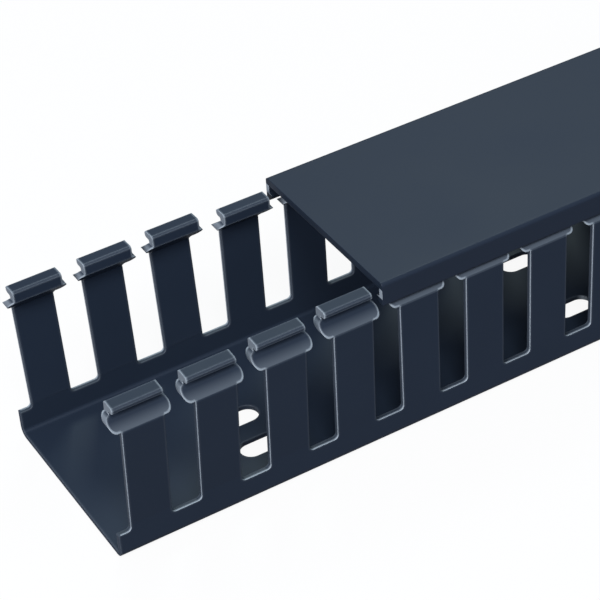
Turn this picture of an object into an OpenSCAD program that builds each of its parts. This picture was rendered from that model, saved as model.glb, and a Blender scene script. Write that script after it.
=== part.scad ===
/* [Channel] */
// stock length of the channel
length = 1000; // [200:20:2000]
// width over the outer wall faces
width = 57.6; // [30:0.1:120]
// thickness of the slotted walls
wall = 1.5; // [1:0.1:3]
// thickness of the floor
floor_t = 1.4; // [1:0.1:4]
// outer radius where the floor turns into a wall
corner_r = 2.6; // [1:0.1:6]
// radius between floor and wall on the inside
inner_r = 1; // [0.2:0.1:4]

/* [Wall slots] */
// distance from one slot to the next
pitch = 20; // [14:0.5:40]
// clear width of a slot between two fingers
slot_w = 8.6; // [7:0.1:14]
// height of the slot bottom above the underside
slot_floor = 8; // [5:0.1:20]
// radius in the two lower corners of a slot
slot_r = 1.2; // [0.4:0.1:3]
// centre of the first whole slot from the cut end
first_slot = 19.3; // [8:0.1:40]

/* [Finger heads] */
// height of the flat top of the heads
head_top = 48.4; // [30:0.1:100]
// height of a head from its foot on the wall to its top
head_h = 8.5; // [8:0.1:12]
// how far the heads reach inwards from the outer wall face
head_in = 6.5; // [6:0.1:12]
// height of a head's round shoulders below its top
shoulder = 4.7; // [4.5:0.1:5.5]
// radius of the round shoulders
shoulder_r = 1.8; // [1:0.1:2]
// gap between two heads at their shoulders
mouth_w = 3.4; // [2:0.1:4]
// gap between two heads at their top
mouth_top_w = 6.2; // [4:0.1:8]
// outward lean of the free fingers of the near wall from the cut end on, in degrees
lean_near = [4.4, 4.6, 3.2, 1.6]; // [0:0.1:8]
// outward lean of the free fingers of the far wall from the cut end on, in degrees
lean_far = [3.7, 3.5, 4, 0.3]; // [0:0.1:8]

/* [Floor slots] */
// width of a mounting slot
mount_w = 6.6; // [3:0.1:9]
// length of a mounting slot over its round ends
mount_len = 12.4; // [10:0.1:30]
// distance of the side rows from the centre line
mount_side = 12.7; // [10:0.1:40]
// first row of mounting slots from the cut end
mount_first = 49.5; // [20:0.5:100]
// distance from one row of mounting slots to the next
mount_pitch = 100; // [40:5:300]

/* [Cover] */
// thickness of the cover plate
cover_t = 2; // [0.8:0.1:3]
// thickness of the cover flanges
flange_t = 1.5; // [0.8:0.1:3]
// height of a flange from its lower edge to the top of the cover
flange_h = 6.7; // [6.5:0.1:12]
// how far the hooks reach inwards from the flanges
hook = 1.4; // [0.8:0.1:2]
// outer radius of the two long edges
edge_r = 1; // [0.4:0.1:3]
// how far the cover stands inside the outer wall faces
cover_inset = 0.3; // [0.1:0.1:2]
// clearance between the heads and the cover
play = 0.4; // [0.1:0.1:1]
// distance from the cut end of the channel to the cover
setback = 78.7; // [0:0.1:500]

/* [Hidden] */
$fn = 64;
half = width / 2;
x_end = -length / 2;
slots = floor(length / pitch) + 1;
// number of fingers that end before the cover begins
free_fingers = floor((setback + mouth_w / 2 - first_slot) / pitch) + 1;
// height up to which both walls are upright, just above the round corners of the slots
lift = slot_floor + slot_r + 1;
// height at which the free fingers start to lean
hinge = lift - 0.1;
// how far the slot cuts run past the walls, so that they take in the leaning heads
past = 10;
// lip of a head, which the hook of the cover reaches under
lip_in = cover_inset + flange_t + play;
groove_in = lip_in + hook + play * 2;
cover_top = head_top + play + cover_t;

// middle of slot k, where 1 is the first whole one
function slot_x(k) = x_end + first_slot + (k - 1) * pitch;

// lean of free finger k, counted from the cut end, where the last angle also serves what follows
function lean(angles, k) = angles[min(k, len(angles)) - 1];

// floor with two rounded corners and the plain lower part of both walls
module channel_2d() {
    difference() {
        union() {
            translate([-half + corner_r, 0]) square([width - 2 * corner_r, lift]);
            translate([-half, corner_r]) square([width, lift - corner_r]);
            for (s = [-1, 1]) translate([s * (half - corner_r), corner_r]) circle(r = corner_r);
        }
        translate([-half + wall, floor_t + inner_r]) square([width - 2 * wall, lift]);
        translate([-half + wall + inner_r, floor_t]) square([width - 2 * (wall + inner_r), lift]);
        for (s = [-1, 1]) translate([s * (half - wall - inner_r), floor_t + inner_r])
            circle(r = inner_r);
    }
}

// section of one finger with its head, outer face on x = 0 and growing inwards
module finger_2d() {
    h = head_top;
    foot = lift - 0.6;
    translate([0, foot]) square([wall, h - head_h - foot]);
    polygon([
        [0, h - head_h - 1], [0, h - 6.7], [0.15, h - 6.2], [0.5, h - 5.8], [groove_in - 0.8, h - 3.5],
        [groove_in, h - 2.6], [groove_in - 0.3, h - 1.9], [lip_in + 0.5, h - 1.8],
        [lip_in, h - 1.4], [lip_in, h - 0.5], [lip_in + 0.5, h], [head_in - 0.5, h],
        [head_in, h - 0.5], [head_in, h - 3.4], [wall, h - head_h + 0.5], [wall, h - head_h - 1]
    ]);
}

// outline of a slot, centred on x = 0: two rounded lower corners, and above them the mouth between
// the round shoulders of two heads
module slot_2d() {
    w = slot_w / 2;
    low = slot_floor + slot_r;
    middle = head_top - shoulder;
    translate([-w + slot_r, slot_floor]) square([slot_w - 2 * slot_r, slot_r + 1]);
    for (s = [-1, 1]) translate([s * (w - slot_r), low]) circle(r = slot_r);
    translate([-w, low]) square([slot_w, middle - shoulder_r - low]);
    difference() {
        translate([-mouth_top_w / 2, low + 1]) square([mouth_top_w, head_top + 5 - low]);
        for (s = [-1, 1]) translate([s * (mouth_w / 2 + shoulder_r), middle]) circle(r = shoulder_r);
    }
}

// upright wall above the channel, before the slots are cut
module straight_blank() {
    from = slot_x(free_fingers) + mouth_w / 4;
    translate([from, 0, 0]) rotate([90, 0, 90]) linear_extrude(length / 2 - from) finger_2d();
}

// piece of wall for free finger k, leaning outwards from its foot, before the slots are cut
module leaning_blank(k, angle) {
    from = max(slot_x(k - 1) + mouth_w / 4, x_end);
    translate([0, wall, hinge]) rotate([angle, 0, 0]) translate([from, -wall, -hinge])
        rotate([90, 0, 90]) linear_extrude(slot_x(k) - mouth_w / 4 - from) finger_2d();
}

// upper part of a wall whose free fingers lean by the given angles
module wall_blank(angles) {
    translate([0, -half, 0]) {
        straight_blank();
        for (k = [1 : free_fingers]) leaning_blank(k, lean(angles, k));
    }
}

module mount_slot() {
    for (s = [-1, 1]) translate([s * (mount_len - mount_w) / 2, 0, -1])
        cylinder(d = mount_w, h = floor_t + 2);
    translate([0, 0, floor_t / 2])
        cube([mount_len - mount_w, mount_w, floor_t + 2], center = true);
}

// rows of mounting slots, three and two in turn
module mount_slots() {
    for (r = [0 : floor((length - mount_first) / mount_pitch)])
        translate([x_end + mount_first + r * mount_pitch, 0, 0]) {
            for (s = [-1, 1]) translate([0, s * mount_side, 0]) mount_slot();
            if (r % 2 == 0) mount_slot();
        }
}

module duct_base() {
    color([0.2, 0.24, 0.29]) difference() {
        union() {
            translate([x_end, 0, 0]) rotate([90, 0, 90]) linear_extrude(length) channel_2d();
            wall_blank(lean_near);
            mirror([0, 1, 0]) wall_blank(lean_far);
        }
        for (k = [0 : slots]) translate([slot_x(k), half + past, 0])
            rotate([90, 0, 0]) linear_extrude(width + 2 * past) slot_2d();
        mount_slots();
    }
}

// section of the cover: plate, two flanges and an inward hook on each
module cover_2d() {
    ch = half - cover_inset;
    low = cover_top - flange_h;
    tip = ch - flange_t - hook;
    translate([-ch + edge_r, cover_top - cover_t]) square([2 * (ch - edge_r), cover_t]);
    for (m = [0, 1]) mirror([m, 0]) {
        translate([ch - edge_r, cover_top - edge_r]) circle(r = edge_r);
        translate([ch - flange_t, low]) square([flange_t, flange_h - edge_r]);
        polygon([
            [tip, low + 1.4], [tip + hook + 0.1, low], [tip + hook + 0.1, low + 2.5], [tip, low + 1.9]
        ]);
    }
}

module cover() {
    color([0.24, 0.28, 0.33]) translate([x_end + setback, 0, 0])
        rotate([90, 0, 90]) linear_extrude(length - setback) cover_2d();
}

duct_base();
cover();
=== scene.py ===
# %% [markdown]
# # A slotted wire duct with its cover pushed back
#
# The duct is a dark grey plastic channel. It is extruded in one piece, and its walls and floor are
# punched afterwards, which leaves two combs of fingers. A flat cover, extruded as well, clips over
# the fingers' heads. Both pieces come from the CAD frame at their real size, and their meshes are
# right as they are. So this scene adds no shape: it gives them their finish, the light and the camera.

# %% Load the frame
import math

import bmesh
import bpy
from mathutils import Matrix, Vector


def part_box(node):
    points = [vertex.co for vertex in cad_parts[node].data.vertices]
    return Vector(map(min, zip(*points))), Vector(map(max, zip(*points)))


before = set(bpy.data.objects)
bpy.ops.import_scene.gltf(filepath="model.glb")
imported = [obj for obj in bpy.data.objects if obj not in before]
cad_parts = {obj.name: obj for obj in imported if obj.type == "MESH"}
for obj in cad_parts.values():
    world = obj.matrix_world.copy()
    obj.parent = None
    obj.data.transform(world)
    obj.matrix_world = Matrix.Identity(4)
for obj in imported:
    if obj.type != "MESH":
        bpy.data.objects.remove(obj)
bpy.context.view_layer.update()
MM = 0.001
print("nodes:", sorted(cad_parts))

# %% [markdown]
# ## The camera
#
# The photograph looks down along the duct from in front of its cut end. The lens is long, so the two
# walls look nearly parallel. A camera can be moved by hand until the picture fits, but on such a long
# piece a fit by eye drifts. Here its place, its turn and the lens were worked out from the even steps
# of the slots. The turn is a rotation vector: its direction is the axis, and its length is the angle.

# %% The camera at the photograph's place
CAMERA_PLACE = Vector((-0.6522, -0.4100, 0.3969))
CAMERA_TURN = Vector((2.1548, -0.6315, 0.2314))
FOCAL_PX = 2283.26
FRAME_PX = 600
SENSOR = 36.0
NEAREST, FARTHEST = 0.05, 20.0


def make_camera():
    # the rows of the turn are the picture's right, down and ahead
    turn = Matrix.Rotation(CAMERA_TURN.length, 3, CAMERA_TURN.normalized())
    right, down, ahead = turn[0], turn[1], turn[2]
    data = bpy.data.cameras.new("camera")
    data.sensor_width = SENSOR
    data.lens = SENSOR * FOCAL_PX / FRAME_PX
    data.clip_start, data.clip_end = NEAREST, FARTHEST
    camera = bpy.data.objects.new("camera", data)
    bpy.context.scene.collection.objects.link(camera)
    basis = Matrix((right, -down, -ahead)).transposed()
    camera.matrix_world = Matrix.Translation(CAMERA_PLACE) @ basis.to_4x4()
    bpy.context.scene.camera = camera
    return camera


camera = make_camera()
print("lens:", round(camera.data.lens, 1), "mm, height over the floor:", round(CAMERA_PLACE.z, 3), "m")

# %% [markdown]
# ## Short calls for nodes
#
# Floor, world and plastic are all node trees. They could be clicked together in the editor, but a
# script can be read, changed and run again. Each node takes several lines, so a small helper adds a
# node and feeds its sockets in one call. Another node's output is linked to the socket, and a plain
# number or colour is set on the socket itself.


# %% A helper that adds nodes and feeds them
class Wiring:
    def __init__(self, tree):
        self.tree = tree

    # links another node's output, or sets a plain value
    def feed(self, socket, value):
        if isinstance(value, bpy.types.NodeSocket):
            self.tree.links.new(value, socket)
        else:
            socket.default_value = value

    # settings come first, because some of them decide which sockets a node has
    def add(self, kind, inputs, **settings):
        node = self.tree.nodes.new("ShaderNode" + kind)
        for name, value in settings.items():
            setattr(node, name, value)
        for key, value in inputs.items():
            self.feed(node.inputs[key], value)
        return node

    def math(self, operation, *values):
        return self.add("Math", dict(enumerate(values)), operation=operation).outputs[0]

    def blend(self, share, first, second):
        mix = self.add("Mix", {"Factor": share, "A": first, "B": second}, data_type="RGBA")
        return mix.outputs["Result"]


print("short calls:", [name for name in vars(Wiring) if not name.startswith("_")])

# %% [markdown]
# ## Floor and backdrop
#
# The photograph is a cut-out on plain white. A white floor and sky could be lit until they burn out,
# but then they would light the duct from all sides as well. Instead they ask what kind of ray meets
# them: the camera sees white, and a reflection sees a share of it. All other rays meet a grey paper
# and a dim blue sky, so the white puts no light on the duct. A small share of the floor is a real
# pale card to the camera, and it keeps the duct's soft shadow.

# %% Where a backdrop shows white
MIRRORED_SHARE = 0.1


def shows_white(wiring, share):
    ray = wiring.add("LightPath", {}).outputs
    direct = wiring.math("MAXIMUM", ray["Is Camera Ray"], ray["Is Transmission Ray"])
    mirrored = wiring.math("MULTIPLY", ray["Is Glossy Ray"], MIRRORED_SHARE)
    return wiring.math("MULTIPLY", wiring.math("MAXIMUM", direct, mirrored), share)


print("a reflection sees", MIRRORED_SHARE, "of the white")

# %% The floor's material
FLOOR_WHITE = 0.92
PAPER = (0.17, 0.175, 0.195, 1)
CARD = (0.78, 0.78, 0.78, 1)
WHITE = (1, 1, 1, 1)


def make_floor_material():
    material = bpy.data.materials.new("pale_floor")
    material.use_nodes = True
    material.node_tree.nodes.clear()
    wiring = Wiring(material.node_tree)
    to_camera = wiring.add("LightPath", {}).outputs["Is Camera Ray"]
    sheet = wiring.add("BsdfDiffuse", {"Color": wiring.blend(to_camera, PAPER, CARD)})
    white = wiring.add("Emission", {"Color": WHITE})
    share = shows_white(wiring, FLOOR_WHITE)
    mix = wiring.add("MixShader", {0: share, 1: sheet.outputs[0], 2: white.outputs[0]})
    wiring.add("OutputMaterial", {"Surface": mix.outputs[0]})
    return material


floor_material = make_floor_material()
print(floor_material.name, "has", len(floor_material.node_tree.nodes), "nodes")

# %% The floor
FLOOR_REACH = 6.0
FLOOR_GAP = 0.2 * MM


def make_floor():
    shape = bmesh.new()
    bmesh.ops.create_grid(shape, x_segments=1, y_segments=1, size=FLOOR_REACH)
    bmesh.ops.translate(shape, vec=(0, 0, -FLOOR_GAP), verts=shape.verts)
    mesh = bpy.data.meshes.new("floor")
    shape.to_mesh(mesh)
    shape.free()
    mesh.materials.append(floor_material)
    floor = bpy.data.objects.new("floor", mesh)
    bpy.context.scene.collection.objects.link(floor)
    return floor


floor = make_floor()
print("floor:", [round(v, 2) for v in floor.dimensions], "m")

# %% The world
SKY = (0.62, 0.78, 1.0, 1)
SKY_LEVEL = 0.36


def make_world():
    world = bpy.data.worlds.new("studio")
    world.use_nodes = True
    wiring = Wiring(world.node_tree)
    sky = world.node_tree.nodes["Background"]
    sky.inputs["Color"].default_value = SKY
    sky.inputs["Strength"].default_value = SKY_LEVEL
    white = wiring.add("Background", {"Color": WHITE, "Strength": 1.0})
    mix = wiring.add("MixShader", {0: shows_white(wiring, 1.0), 1: sky.outputs[0], 2: white.outputs[0]})
    wiring.feed(world.node_tree.nodes["World Output"].inputs["Surface"], mix.outputs[0])
    bpy.context.scene.world = world
    return world


world = make_world()
print(world.name, "with a sky at a level of", SKY_LEVEL)

# %% [markdown]
# ## Lamps
#
# In the photograph the faces that look at the cut end are the lightest, then comes the top of the
# cover, and both walls are darker. One sun can't give three such tones with soft shadows, but three
# large lamps can: a strong one in front of the cut end, one high on the near side, and a weak one
# behind, which gives the cover's top its faint shine. They stand metres away, so that the light is
# nearly even over the duct's length.
#
# Watts say little by themselves, because a lamp's light falls off with the square of its distance.
# The helper takes a level instead: at 1.0, a white card that faces the lamp renders just white.

# %% A lamp by its level
AIM = Vector((-0.42, 0.0, 0.03))


def add_lamp(name, side, far, size, level, colour):
    towards = Vector(side).normalized()
    data = bpy.data.lights.new(name, "AREA")
    data.shape = "SQUARE"
    data.size = size
    data.energy = level * math.pi ** 2 * far ** 2
    data.color = colour
    lamp = bpy.data.objects.new(name, data)
    lamp.location = AIM + towards * far
    lamp.rotation_mode = "QUATERNION"
    lamp.rotation_quaternion = (-towards).to_track_quat("-Z", "Y")
    bpy.context.scene.collection.objects.link(lamp)
    print(name, "gives", round(data.energy), "W from", far, "m")


# %% Three lamps
add_lamp("end_soft", (-0.80, -0.38, 0.47), far=4.5, size=1.8, level=1.04, colour=(0.97, 0.95, 1.0))
add_lamp("back_soft", (0.39, 0.50, 0.77), far=4.0, size=1.1, level=0.22, colour=(0.82, 1.0, 1.0))
add_lamp("front_soft", (-0.20, -0.50, 0.84), far=3.5, size=1.0, level=0.46, colour=(0.93, 0.97, 1.0))

# %% [markdown]
# ## The plastic's skin
#
# Hard PVC leaves the die with a fine, even skin. It is nearly one colour, with a faint haze that
# changes over a few centimetres. A single flat colour looks like paint on a screen, and an image of
# plastic needs places on the mesh, which these CAD pieces don't have. A noise on Object coordinates
# needs none. It counts in metres, so the haze has the same size on both pieces.

# %% Haze and its two tones
HAZE_SCALE = 35.0
HAZE_DETAIL = 3.0
HAZE_SPAN = (0.3, 0.7)


def add_noise(wiring, place, scale, detail):
    return wiring.add("TexNoise", {"Vector": place, "Scale": scale, "Detail": detail}).outputs["Fac"]


def tone_pair(wiring, haze, colour, spread):
    ramp = wiring.add("ValToRGB", {"Fac": haze})
    for element, position, factor in zip(ramp.color_ramp.elements, HAZE_SPAN, (1 - spread, 1 + spread)):
        element.position = position
        element.color = (*[part * factor for part in colour], 1)
    return ramp.outputs["Color"]


print("a patch of haze measures about", round(1 / HAZE_SCALE / MM), "mm")

# %% [markdown]
# ## Where the plastic was cut
#
# The slots are punched and the cover is sawn off, and there the skin is missing. Thousands of such
# faces can't be picked by hand, but they give themselves away: the skin of an extrusion never faces
# along its length, so a face whose normal has a part along the duct is a cut one. The flat sills of
# the slots look upwards, and are found by their height. The duct's two outer ends are left out,
# because the cut end is as dark as the skin in the photograph.


# %% Soft and hard limits
def ramp_share(wiring, value, span, to=(0.0, 1.0)):
    inputs = {"Value": value, "From Min": span[0], "From Max": span[1], "To Min": to[0], "To Max": to[1]}
    return wiring.add("MapRange", inputs).outputs["Result"]


def between(wiring, value, low, high):
    return wiring.math("COMPARE", value, (low + high) / 2, (high - low) / 2)


duct_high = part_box("duct_base")[1]
print("the duct reaches x", round(duct_high[0] / MM, 1), "mm and z", round(duct_high[2] / MM, 1), "mm")

# %% The share of a cut face
SILL_ZONE = (6 * MM, 12 * MM)
CUT_TILT = (0.05, 0.5)
PLAIN_END = 0.5 * MM


def cut_share(wiring, facing, spot):
    upward = wiring.math("MULTIPLY", facing["Z"], between(wiring, spot["Z"], *SILL_ZONE))
    along = wiring.math("MULTIPLY", facing["X"], facing["X"])
    from_middle = wiring.math("ABSOLUTE", spot["X"])
    off_the_ends = wiring.math("LESS_THAN", from_middle, duct_high[0] - PLAIN_END)
    punched = wiring.math("MULTIPLY", wiring.math("MAXIMUM", upward, along), off_the_ends)
    return ramp_share(wiring, punched, CUT_TILT)


print("sills are looked for at z", [round(v / MM) for v in SILL_ZONE], "mm")

# %% [markdown]
# ## Painted highlights on the rims
#
# Each slot gets a painted highlight: a pale line along its outer side and none inside. Real bevels on
# all slots would take many triangles. A Bevel node only bends the normal near an edge, and where the
# bent normal of a cut face looks outwards, that spot is close to the outer edge.
#
# Other outer edges get fainter painted highlight lines. An Ambient Occlusion node that looks
# inside the plastic finds them, because a point on an edge has little plastic around it. The painted
# lines are faint on the walls and clear on the heads.

# %% The painted highlight on a slot's outer rim
RIM_HIGHLIGHT_RADIUS = 1.3 * MM
RIM_HIGHLIGHT_TILT = (0.05, 0.65)
EDGE_SAMPLES = 8


# paints a highlight on the part of each cut face that lies near the wall's outer side
def rim_highlight_share(wiring, spot, is_cut):
    bent = wiring.add("Bevel", {"Radius": RIM_HIGHLIGHT_RADIUS}, samples=EDGE_SAMPLES)
    across = wiring.add("SeparateXYZ", {0: bent.outputs["Normal"]}).outputs["Y"]
    outward = wiring.math("MULTIPLY", across, wiring.math("SIGN", spot["Y"]))
    return wiring.math("MULTIPLY", ramp_share(wiring, outward, RIM_HIGHLIGHT_TILT), is_cut)


print("a rolled rim is", round(RIM_HIGHLIGHT_RADIUS / MM, 1), "mm wide")

# %% Painted highlights on outer edges
EDGE_REACH = 1.6
INSIDE_SPAN = (0.95, 0.50)
HEAD_FOOT = 41.8 * MM
WALL_HIGHLIGHT, HEAD_HIGHLIGHT = 0.10, 0.70


# paints highlight lines on outer edges, faint on the walls and clear on the heads
def edge_highlight_share(wiring, spot, edge):
    inside = wiring.add("AmbientOcclusion", {"Distance": EDGE_REACH * edge},
                        inside=True, only_local=True, samples=EDGE_SAMPLES)
    on_edge = ramp_share(wiring, inside.outputs["AO"], INSIDE_SPAN)
    on_head = wiring.math("GREATER_THAN", spot["Z"], HEAD_FOOT)
    highlight_strength = ramp_share(wiring, on_head, (0.0, 1.0), (WALL_HIGHLIGHT, HEAD_HIGHLIGHT))
    return wiring.math("MULTIPLY", on_edge, highlight_strength)


print("the heads begin at z", round(HEAD_FOOT / MM, 1), "mm")

# %% [markdown]
# ## Painted highlights on the ends and the slope
#
# The heads' ends and the ends of the cover's flanges are sheared, and they get a painted highlight all
# over. Below the groove of each head lies a slope over which the cover's hooks slide when it is pushed
# on, and it gets a fainter painted highlight. Both could be painted on the mesh. As each keeps to one
# height, a limit on height and tilt finds them, and still fits when the duct gets longer.

# %% Ends and slope
SLOPE_FOOT = (41.5 * MM, 41.9 * MM)
SLOPE_TOP = (42.2 * MM, 44.2 * MM)
SLOPE_TILT = (0.15, 0.5)


# paints a highlight over cut faces within one height band: the heads' ends or the cover's flange ends
def end_highlight_share(wiring, spot, is_cut, zone, share):
    in_zone = between(wiring, spot["Z"], *zone)
    return wiring.math("MULTIPLY", wiring.math("MULTIPLY", is_cut, in_zone), share)


# the slope below each head's groove; it gets a painted highlight and a lower roughness
def slope_share(wiring, facing, spot):
    above = ramp_share(wiring, spot["Z"], SLOPE_FOOT)
    below = ramp_share(wiring, spot["Z"], SLOPE_TOP, (1.0, 0.0))
    tilted = ramp_share(wiring, facing["Z"], SLOPE_TILT)
    return wiring.math("MULTIPLY", wiring.math("MULTIPLY", above, below), tilted)


print("the slope fades out up to z", round(SLOPE_TOP[1] / MM, 1), "mm")

# %% [markdown]
# ## Gloss, grain and die lines
#
# The skin is half matt, and cut plastic and the slope below each head's groove are a little smoother.
# Two very shallow reliefs break
# up its shine: an even grain, and lines from the die that run the whole length. Both are far too fine
# to model, so they are bump. The lines are a noise that is stretched along the duct by a Mapping
# node. A second, smaller Bevel node rounds all edges in the shading.

# %% Gloss
GLOSS = 0.16
DULLNESS = (0.38, 0.46)
SMOOTHED_BY = 0.12


def set_gloss(wiring, shader, haze, smooth):
    shader.inputs["Specular IOR Level"].default_value = GLOSS
    dull = ramp_share(wiring, haze, HAZE_SPAN, DULLNESS)
    smoothed = wiring.math("MULTIPLY", smooth, SMOOTHED_BY)
    wiring.feed(shader.inputs["Roughness"], wiring.math("SUBTRACT", dull, smoothed))


print("roughness of the skin:", DULLNESS)

# %% Grain, die lines and rounded edges
GRAIN_SCALE = 2500.0
FINE_DETAIL = 2.0
LINE_STRETCH = (3.0, 900.0, 900.0)
RELIEF_DEPTH = 0.05 * MM
RELIEF_SHARE = 0.10


def set_relief(wiring, shader, place, edge):
    stretched = wiring.add("Mapping", {"Vector": place, "Scale": LINE_STRETCH}).outputs["Vector"]
    lines = add_noise(wiring, stretched, 1.0, FINE_DETAIL)
    grain = add_noise(wiring, place, GRAIN_SCALE, FINE_DETAIL)
    rounded = wiring.add("Bevel", {"Radius": edge}, samples=EDGE_SAMPLES)
    bump = wiring.add("Bump", {"Strength": RELIEF_SHARE, "Distance": RELIEF_DEPTH,
                               "Height": wiring.math("ADD", grain, lines),
                               "Normal": rounded.outputs["Normal"]})
    wiring.feed(shader.inputs["Normal"], bump.outputs["Normal"])


print("relief:", round(RELIEF_DEPTH / MM, 2), "mm at a strength of", RELIEF_SHARE)

# %% [markdown]
# ## Both plastics
#
# Channel and cover are the same plastic from two dies, and the cover is a shade darker. They could
# share one material, but the channel has punched slots and heads and the cover has neither. So one
# recipe makes both, and each piece says where its painted highlights go.

# %% What both plastics share
SKIN_SPREAD = 0.04
CUT_SPREAD = 0.10
# The pale colour of all painted highlights: lines on outer edges, slot rims, head and flange ends, and
# the slope.
HIGHLIGHT_COLOUR = (0.3600, 0.4100, 0.4500, 1)


def make_plastic(name, skin, cut, edge, highlight_share):
    material = bpy.data.materials.new(name)
    material.use_nodes = True
    wiring = Wiring(material.node_tree)
    shader = material.node_tree.nodes["Principled BSDF"]
    source = wiring.add("TexCoord", {}).outputs
    place = source["Object"]
    spot = wiring.add("SeparateXYZ", {0: place}).outputs
    facing = wiring.add("SeparateXYZ", {0: source["Normal"]}).outputs
    haze = add_noise(wiring, place, HAZE_SCALE, HAZE_DETAIL)
    is_cut = cut_share(wiring, facing, spot)
    on_slope = slope_share(wiring, facing, spot)
    skin_tone = tone_pair(wiring, haze, skin, SKIN_SPREAD)
    cut_tone = tone_pair(wiring, haze, cut, CUT_SPREAD)
    tone = wiring.blend(is_cut, skin_tone, cut_tone)
    highlight_mask = highlight_share(wiring, spot, is_cut, on_slope, edge)
    # the painted highlights are mixed into the base colour here
    wiring.feed(shader.inputs["Base Color"], wiring.blend(highlight_mask, tone, HIGHLIGHT_COLOUR))
    set_gloss(wiring, shader, haze, wiring.math("MAXIMUM", is_cut, on_slope))
    set_relief(wiring, shader, place, edge)
    print(name, "has", len(material.node_tree.nodes), "nodes")
    return material


# %% The channel's plastic
BASE_SKIN = (0.0165, 0.0250, 0.0410)
BASE_CUT = (0.0260, 0.0350, 0.0490)
BASE_EDGE = 0.4 * MM
HEAD_ZONE = (HEAD_FOOT, duct_high[2])
# strength of the painted highlight on the heads' ends
HEAD_END_HIGHLIGHT = 0.36
# strength of the painted highlight on the slope
SLOPE_HIGHLIGHT = 0.19


# the channel's painted highlights: edge lines, slot rims, head ends and the slope below each groove
def base_highlight_share(wiring, spot, is_cut, on_slope, edge):
    highlight = wiring.math("MAXIMUM", edge_highlight_share(wiring, spot, edge), rim_highlight_share(wiring, spot, is_cut))
    highlight = wiring.math("MAXIMUM", highlight, end_highlight_share(wiring, spot, is_cut, HEAD_ZONE, HEAD_END_HIGHLIGHT))
    return wiring.math("MAXIMUM", highlight, wiring.math("MULTIPLY", on_slope, SLOPE_HIGHLIGHT))


base_plastic = make_plastic("base_plastic", BASE_SKIN, BASE_CUT, BASE_EDGE, base_highlight_share)

# %% The cover's plastic
COVER_SKIN = (0.0155, 0.0228, 0.0375)
COVER_CUT = (0.0120, 0.0180, 0.0290)
COVER_EDGE = 0.35 * MM
COVER_PLATE = 2.0 * MM
FLANGE_SHOWN = 2.8 * MM
plate_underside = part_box("cover")[1][2] - COVER_PLATE
FLANGE_ZONE = (plate_underside - FLANGE_SHOWN, plate_underside)
# strength of the painted highlight on the flange ends
FLANGE_END_HIGHLIGHT = 0.65


# the cover's only painted highlight is on its flange ends
def cover_highlight_share(wiring, spot, is_cut, on_slope, edge):
    return end_highlight_share(wiring, spot, is_cut, FLANGE_ZONE, FLANGE_END_HIGHLIGHT)


cover_plastic = make_plastic("cover_plastic", COVER_SKIN, COVER_CUT, COVER_EDGE, cover_highlight_share)


# %% Give each piece its plastic
def give(node, material):
    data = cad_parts[node].data
    data.materials.clear()
    data.materials.append(material)
    print(node, "gets", material.name)


give("duct_base", base_plastic)
give("cover", cover_plastic)

# %% [markdown]
# ## Colours as they are written
#
# Blender's usual view softens bright tones, which makes white paper grey. The Standard view leaves
# colours as they are, so the background comes out white and the plastic keeps its tone.

# %% View
view = bpy.context.scene.view_settings
view.view_transform = "Standard"
print("view:", view.view_transform)

# %% [markdown]
# ## Sizes and end
#
# The finish adds no shape, so the object keeps its size.
